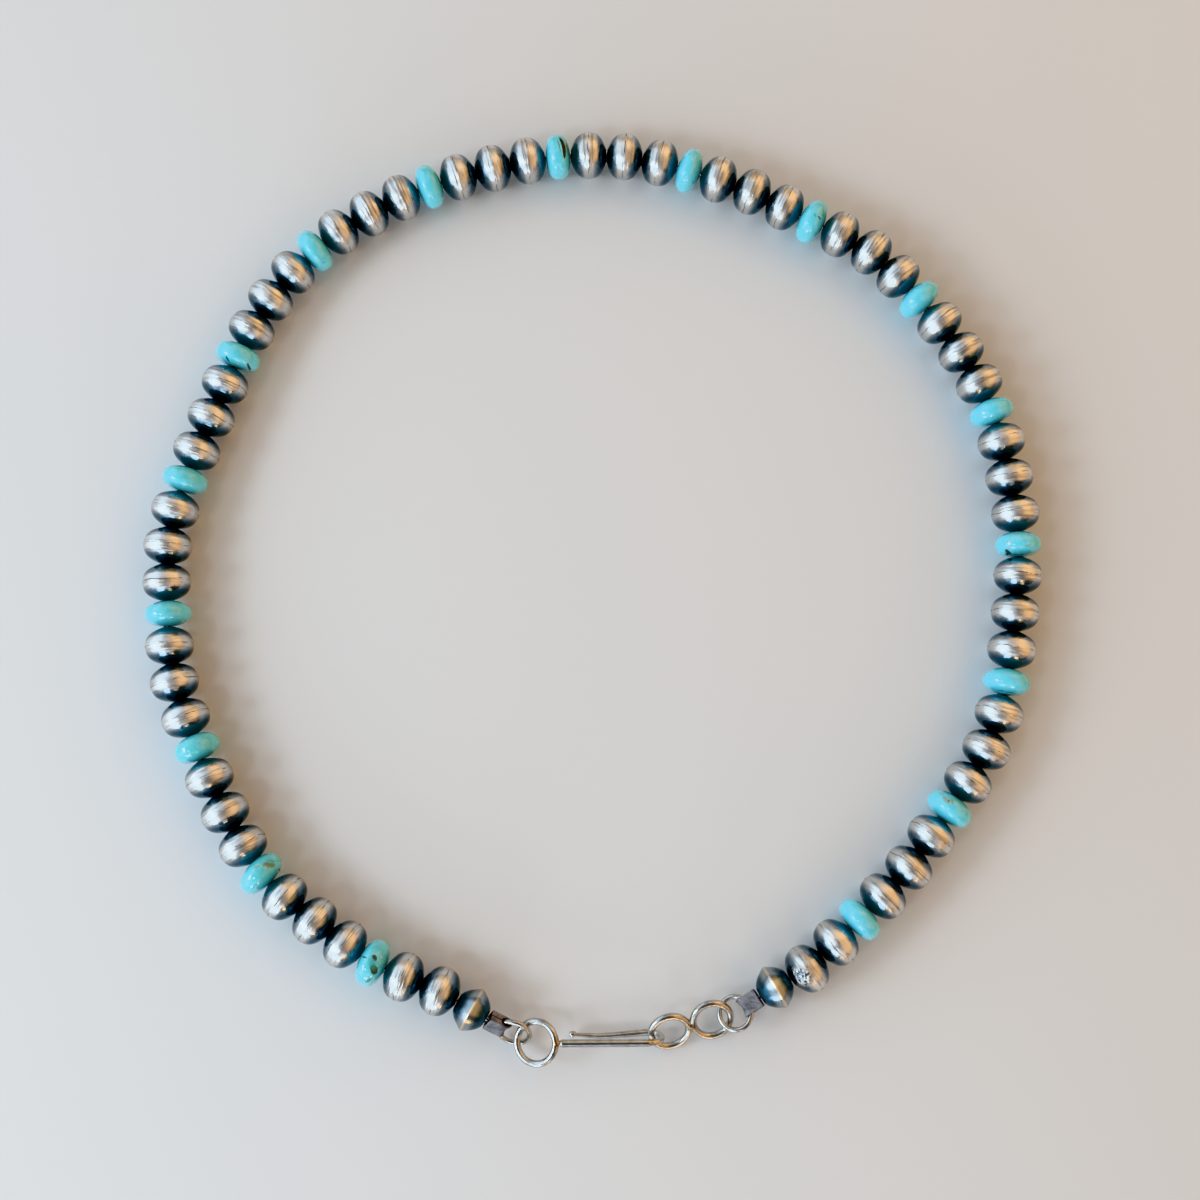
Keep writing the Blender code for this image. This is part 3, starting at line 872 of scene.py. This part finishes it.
def make_turquoise_beads(beads, chance):
    for bead in beads:
        if bead.kind != "turquoise":
            continue
        diameter, thickness, turn, green, squareness = TURQUOISE[bead.number - 1]
        radius = diameter / 2 * MM
        half = thickness / 2 * MM
        marks = [Mark(row, radius, half, squareness) for row in MARKS if row[0] == bead.number]
        dented = any(mark.depth for mark in marks)
        steps = DENTED_STEPS if dented else RONDELLE_STEPS
        sides = DENTED_SIDES if dented else RONDELLE_SIDES
        seed = chance.uniform(0.0, HIGHEST_SEED)
        waves = uneven(seed, *STONE_WAVES)

        def shape(point):
            return sum((mark.dent(point) for mark in marks if mark.depth), waves(point))

        name = f"turquoise_{bead.number:02d}"
        mesh = turned(name, rondelle_profile(radius, half, squareness, steps), sides, shape)
        note(mesh, "seed", seed)
        material = turquoise_material(name, green, marks)
        node = f"turquoise_bead_{bead.number:02d}"
        add_piece(name, mesh, material, node, bead.matrix(turn))


class Link:
    """Where a jump ring and its end tab are: in one plane with the hole of the last bead."""

    def __init__(self, side, bead, outward):
        self.side = side
        self.hole = bead.centre + bead.axis * (outward * END_BEAD_LENGTH / 2)
        self.ring_centre = JUMP_RING_CENTRE[side]
        self.along = (self.ring_centre - self.hole).normalized()
        roll = Matrix.Rotation(math.radians(JUMP_RING_ROLL[side]), 3, self.along)
        self.across = roll @ self.along.cross(UP).normalized()
        self.upper = self.across.cross(self.along)

    def at(self, distance):
        return self.hole + self.along * distance


def make_cables(route, beads, links):
    """The cable through each half of the beads, from its tab into the middle turquoise."""
    metal = cable_material()
    middle = beads[len(beads) // 2]
    for side, outward, last in (("left", -1.0, beads[0]), ("right", 1.0, beads[-1])):
        start = middle.at + outward * MIDDLE_GAP / 2
        end = last.at + outward * END_BEAD_LENGTH / 2
        count = int(abs(end - start) / CABLE_STEP)
        points = [route.point(start + (end - start) * k / count) for k in range(count)]
        points += [links[side].hole, links[side].at(TAB_CABLE_TO)]
        name = f"cable_{side}"
        mesh = loft(name, tube_rings(points, [CABLE_RADIUS] * len(points), CABLE_SIDES, UP))
        add_piece(name, mesh, metal, f"silver_bead_string_{side}")


def tube_rings(points, radii, sides, upward):
    """Circles across a line of points, each with its own radius."""
    rings = []
    for k, (point, radius) in enumerate(zip(points, radii)):
        along = points[min(k + 1, len(points) - 1)] - points[max(k - 1, 0)]
        rings.append(ring(point, along.normalized(), radius, sides, upward))
    return rings


def torus(name, centre, first, second, ring_radius, wire_radius):
    """A ring of round wire in the plane of two directions."""
    rings = []
    for k in range(RING_SEGMENTS):
        angle = 2.0 * math.pi * k / RING_SEGMENTS
        outward = math.cos(angle) * first + math.sin(angle) * second
        along = math.cos(angle) * second - math.sin(angle) * first
        rings.append(ring(centre + outward * ring_radius, along, wire_radius, WIRE_SIDES, outward))
    return loft(name, rings, closed=True)


def ball(name, centre, radius):
    shape = bmesh.new()
    place = Matrix.Translation(centre)
    bmesh.ops.create_icosphere(shape, subdivisions=BALL_SUBDIVISIONS, radius=radius, matrix=place)
    mesh = bpy.data.meshes.new(name)
    shape.to_mesh(mesh)
    shape.free()
    return mesh


def joined(name, meshes):
    """One mesh that holds several."""
    shape = bmesh.new()
    for mesh in meshes:
        shape.from_mesh(mesh)
    made = bpy.data.meshes.new(name)
    shape.to_mesh(made)
    shape.free()
    return made


def with_modifiers(name, mesh, modifiers):
    """The smooth mesh that modifiers make of another. Each is a type and its settings."""
    carrier = add_object(name + "_carrier", mesh)
    for kind, settings in modifiers:
        modifier = carrier.modifiers.new(kind.lower(), kind)
        for key, value in settings.items():
            setattr(modifier, key, value)
    graph = bpy.context.evaluated_depsgraph_get()
    made = bpy.data.meshes.new_from_object(carrier.evaluated_get(graph))
    made.name = name
    made.shade_smooth()
    bpy.data.objects.remove(carrier)
    return made


def softened(voxel, rounds):
    """Modifiers that give a mesh one skin with rounded edges."""
    return [
        ("REMESH", {"mode": "VOXEL", "voxel_size": voxel, "use_smooth_shade": True}),
        ("SMOOTH", {"factor": SMOOTHING_FACTOR, "iterations": rounds}),
    ]


def soldered(name, meshes):
    """Overlapping bodies run into one, with the small fillets that solder leaves."""
    return with_modifiers(name, joined(name, meshes), softened(CLASP_VOXEL, CLASP_SMOOTHING))


def rod(name, start, end, radius):
    along = (end - start).normalized()
    return loft(name, [ring(point, along, radius, WIRE_SIDES) for point in (start, end)])


def tab_outline(link, station):
    """Section of a tab along its length: square where it is soldered, round where it is folded."""
    aside = link.across * (station * TAB_WIDTH / 2)
    upward = link.upper * TAB_HALF_THICKNESS
    face = link.at(TAB_FACE_AT) + aside
    edge = TAB_EDGE_FROM_RING_CENTRE - TAB_EDGE_HOLLOW * station**2
    fold = link.ring_centre - link.along * (edge + TAB_HALF_THICKNESS) + aside
    points = [face - upward]
    for k in range(TAB_FOLD_SIDES + 1):
        angle = math.pi * (k / TAB_FOLD_SIDES - 0.5)
        forward = math.cos(angle) * TAB_HALF_THICKNESS * link.along
        points.append(fold + forward + math.sin(angle) * upward)
    points.append(face + upward)
    return points


def tab_seam(link):
    """A thin slab between the two layers of a tab, from its end to the jump ring."""
    aside = link.across * TAB_WIDTH
    upward = link.upper * (TAB_SEAM / 2)
    to_ring = (link.ring_centre - link.hole).length - JUMP_RING_RADIUS
    sections = []
    for distance in (TAB_FACE_AT - TAB_SEAM_OVERRUN, to_ring):
        middle = link.at(distance)
        near = middle - aside
        far = middle + aside
        sections.append([near - upward, far - upward, far + upward, near + upward])
    return loft("tab_seam", sections)


def make_tab(link, metal):
    name = f"tab_{link.side}"
    stations = [2.0 * k / (TAB_STATIONS - 1) - 1.0 for k in range(TAB_STATIONS)]
    block = loft(name, [tab_outline(link, station) for station in stations])
    hole = ring_at(link, "tab_hole", TAB_HOLE_RADIUS)
    bore = rod("tab_bore", link.at(-TAB_FACE_AT), link.at(TAB_BORE_TO), TAB_BORE_RADIUS)
    cutters = [add_object(cut.name, cut) for cut in (hole, bore, tab_seam(link))]
    cuts = [("BOOLEAN", {"operation": "DIFFERENCE", "object": cutter}) for cutter in cutters]
    mesh = with_modifiers(name, block, cuts + softened(TAB_VOXEL, TAB_SMOOTHING))
    for cutter in cutters:
        bpy.data.objects.remove(cutter)
    add_piece(name, mesh, metal, f"end_tab_{link.side}")


def ring_at(link, name, wire_radius):
    """A ring where the jump ring is."""
    return torus(name, link.ring_centre, link.along, link.across, JUMP_RING_RADIUS, wire_radius)


def make_jump_ring(link, metal):
    name = f"link_ring_{link.side}"
    mesh = ring_at(link, name, JUMP_WIRE_RADIUS)
    add_piece(name, mesh, metal, f"jump_ring_{link.side}")


def eased(rows, steps):
    """Rows of numbers, with more of them between, on a smooth curve through all."""
    padded = [rows[0], *rows, rows[-1]]
    finer = []
    for span in zip(padded, padded[1:], padded[2:], padded[3:]):
        for step in range(steps):
            finer.append(tuple(spline(*column, step / steps) for column in zip(*span)))
    return finer + [rows[-1]]


def wire_points(rows):
    return [(Vector(row[:3]) * MM, row[3] * MM) for row in rows]


def hook_wire():
    """Neck, shank, bend, tapering return and ball tip."""
    shank = wire_points(HOOK_SHANK)
    back = wire_points(eased(HOOK_RETURN, RETURN_STEPS))
    bend_centre = (shank[-1][0] + back[0][0]) / 2
    arm = shank[-1][0] - bend_centre
    forward = Vector((HOOK_BEND, 0.0, 0.0))
    bend = []
    for k in range(1, BEND_STEPS):
        angle = math.pi * k / BEND_STEPS
        point = bend_centre + math.cos(angle) * arm + math.sin(angle) * forward
        bend.append((point, HOOK_BEND_WIRE_RADIUS))
    wire = shank + bend + back
    sideways = arm.cross(forward).normalized()
    points = [point for point, _ in wire]
    radii = [radius for _, radius in wire]
    return loft("hook_wire", tube_rings(points, radii, WIRE_SIDES, sideways))


def hook_joint():
    return Vector(HOOK_SHANK[0][:3]) * MM


def make_hook(metal):
    tilt = math.radians(HOOK_RING_TILT)
    raised = Vector((math.cos(tilt), 0.0, math.sin(tilt)))
    level = Vector((0.0, 1.0, 0.0))
    radii = (HOOK_RING_RADIUS, HOOK_RING_WIRE_RADIUS)
    hoop = torus("hook_ring", HOOK_RING_CENTRE, raised, level, *radii)
    neck = ball("neck_solder", hook_joint(), NECK_SOLDER_RADIUS)
    mesh = soldered("hook", [hoop, hook_wire(), neck])
    add_piece("hook", mesh, metal, "clasp_hook")


def eye_direction():
    turn = math.radians(EYE_DIRECTION)
    return Vector((math.cos(turn), math.sin(turn), 0.0))


def eye_joint():
    return EYE_CENTRE + eye_direction() * (EYE_RING_SPACING / 2)


def make_eye(metal):
    along = eye_direction()
    level = Vector((-along.y, along.x, 0.0))
    bodies = []
    for number, tilt in enumerate(EYE_TILTS):
        raised = math.cos(math.radians(tilt)) * level + math.sin(math.radians(tilt)) * UP
        centre = EYE_CENTRE + along * (number * EYE_RING_SPACING)
        bodies.append(torus("eye_ring", centre, along, raised, EYE_RING_RADIUS, EYE_WIRE_RADIUS))
    bodies.append(ball("eye_solder", eye_joint(), EYE_SOLDER_RADIUS))
    add_piece("eye", soldered("eye", bodies), metal, "clasp_eye")


def make_camera():
    camera = add_object("camera", bpy.data.cameras.new("camera"))
    tilt = math.radians(CAMERA_TILT)
    back = Vector((0.0, -math.sin(tilt), math.cos(tilt)))
    camera.location = CAMERA_TARGET + back * CAMERA_DISTANCE
    camera.rotation_euler = (-back).to_track_quat("-Z", "Y").to_euler()
    camera.data.sensor_width = SENSOR_WIDTH
    camera.data.lens = FOCAL_PIXELS / IMAGE_SIDE * SENSOR_WIDTH
    camera.data.clip_start = CAMERA_CLIP_START
    bpy.context.scene.camera = camera


FLOOR_SIDE = 6.0
FLOOR_COLOUR = (0.76, 0.765, 0.77, 1.0)
FLOOR_ROUGHNESS = 0.8


def make_floor(height):
    mesh = bpy.data.meshes.new("floor")
    half = FLOOR_SIDE / 2
    signs = ((-1, -1), (1, -1), (1, 1), (-1, 1))
    mesh.from_pydata([(x * half, y * half, 0.0) for x, y in signs], [], [(0, 1, 2, 3)])
    floor = add_object("floor", mesh)
    floor.location.z = height
    material = bpy.data.materials.new("floor_pale")
    material.use_nodes = True
    surface = material.node_tree.nodes["Principled BSDF"]
    surface.inputs["Base Color"].default_value = FLOOR_COLOUR
    surface.inputs["Roughness"].default_value = FLOOR_ROUGHNESS
    mesh.materials.append(material)
    floor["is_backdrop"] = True


# Softboxes round the necklace: name, azimuth and elevation in degrees,
# distance, width and height in metres, radiance, colour
SOFTBOXES = (
    ("left_sky", 172.0, 28.0, 0.72, 2.00, 0.60, 1.15, (0.62, 0.82, 1.0)),
    ("high_sky", 125.0, 60.0, 0.75, 0.90, 0.50, 0.40, (0.78, 0.88, 1.0)),
    ("window", 196.0, 32.0, 0.70, 0.25, 0.15, 10.0, (0.78, 0.91, 1.0)),
    ("pane", 222.0, 50.0, 0.70, 0.12, 0.09, 9.0, (0.82, 0.92, 1.0)),
    ("low_row", 226.0, 12.0, 0.70, 0.90, 0.22, 0.9, (0.64, 0.83, 1.0)),
    ("low_window", 250.0, 11.0, 0.70, 0.24, 0.13, 8.0, (0.66, 0.85, 1.0)),
    ("front", 263.0, 31.0, 0.72, 0.60, 0.24, 1.0, (0.78, 0.89, 1.0)),
    ("warm_wall", 6.0, 35.0, 0.75, 1.60, 0.82, 0.72, (1.0, 0.57, 0.23)),
    ("warm_back", 66.0, 34.0, 0.75, 0.90, 0.70, 0.50, (1.0, 0.66, 0.32)),
    ("lamp", 283.0, 10.0, 0.70, 0.10, 0.09, 9.0, (1.0, 0.66, 0.36)),
)
FLUX_FOR_RADIANCE = 4.0
WORLD_COLOUR = (0.96, 0.95, 0.94, 1.0)
WORLD_STRENGTH = 0.12


def make_lights():
    for name, azimuth, elevation, distance, width, height, radiance, colour in SOFTBOXES:
        light = bpy.data.lights.new(name, "AREA")
        light.shape = "RECTANGLE"
        light.size = width
        light.size_y = height
        light.energy = FLUX_FOR_RADIANCE * radiance * width * height
        light.color = colour
        lamp = add_object(name, light)
        turn = math.radians(azimuth)
        rise = math.radians(elevation)
        level = math.cos(rise)
        place = Vector((level * math.cos(turn), level * math.sin(turn), math.sin(rise)))
        lamp.location = place * distance
        lamp.rotation_euler = place.to_track_quat("Z", "Y").to_euler()
        lamp.visible_camera = False
    world = bpy.data.worlds.new("studio")
    world.use_nodes = True
    background = world.node_tree.nodes["Background"]
    background.inputs["Color"].default_value = WORLD_COLOUR
    background.inputs["Strength"].default_value = WORLD_STRENGTH
    bpy.context.scene.world = world


def write_size():
    boxes = [[list(corner) for corner in box] for box in (CAD_BOX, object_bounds())]


def main():
    chance = random.Random(CHANCE_SEED)
    make_camera()
    make_lights()
    route = Route(ROUTE, AXIS_HEIGHT)
    beads = place_beads(route)
    links = {"left": Link("left", beads[0], -1.0), "right": Link("right", beads[-1], 1.0)}
    make_silver_beads(beads, chance)
    make_turquoise_beads(beads, chance)
    make_cables(route, beads, links)
    joints = (hook_joint(), eye_joint())
    polished = clasp_material("clasp_silver", *CLASP_METAL, joints)
    sheet = clasp_material("tab_silver", *TAB_METAL)
    for link in links.values():
        make_tab(link, sheet)
        make_jump_ring(link, polished)
    make_hook(polished)
    make_eye(polished)
    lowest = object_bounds()[0][2]
    make_floor(lowest)
    bpy.context.scene.view_settings.view_transform = "Khronos PBR Neutral"
    write_size()


main()
